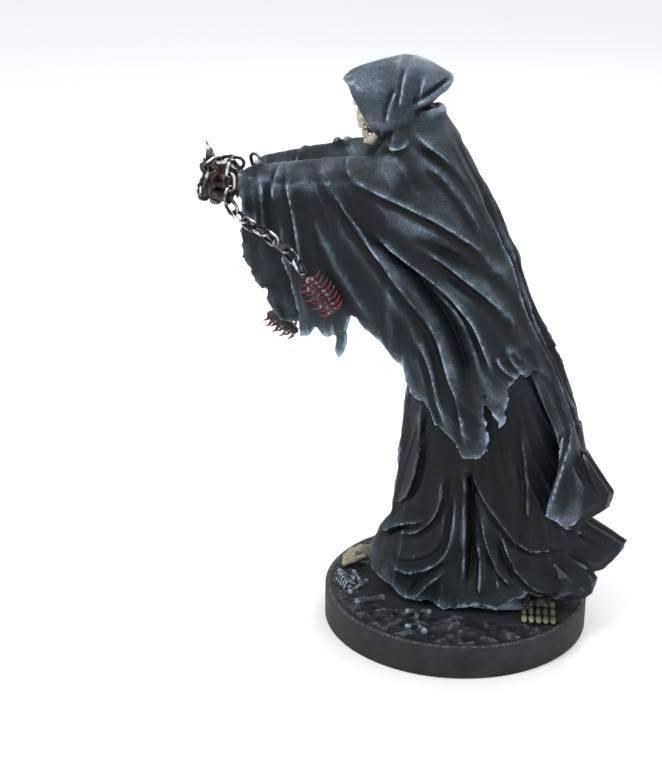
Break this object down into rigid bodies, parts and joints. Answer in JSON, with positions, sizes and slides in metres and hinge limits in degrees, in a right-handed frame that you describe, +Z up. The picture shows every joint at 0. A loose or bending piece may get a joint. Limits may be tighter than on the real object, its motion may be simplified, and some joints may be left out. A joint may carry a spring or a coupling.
{
  "type": "reaper_figurine",
  "caption": "Hooded skeleton figurine in a torn flowing robe, leaning forward with its arms out and a chain flail in its hands, on a round plinth",
  "frame": {"origin": "centre of the plinth's flat underside", "axes": "+Z up, the figure faces -Y, +X is the figure's left"},
  "size_m": [0.1006, 0.1648, 0.2159],
  "materials": {
    "robe_paint": "cast resin painted blue black, dry-brushed pale blue grey on the crests and torn edges",
    "base_paint": "cast resin painted dark grey, worn paler on the rim and the relief",
    "silver_paint": "silver paint with dark hollows",
    "stained_paint": "silver paint stained red"
  },
  "bodies": {
    "root": {"base": "base_paint", "reaper": "robe_paint", "flail_handle": "silver_paint", "flail_chain_near": "silver_paint", "flail_chain_far": "silver_paint", "flail_head_near": "stained_paint", "flail_head_far": "stained_paint"}
  },
  "joints": []
}
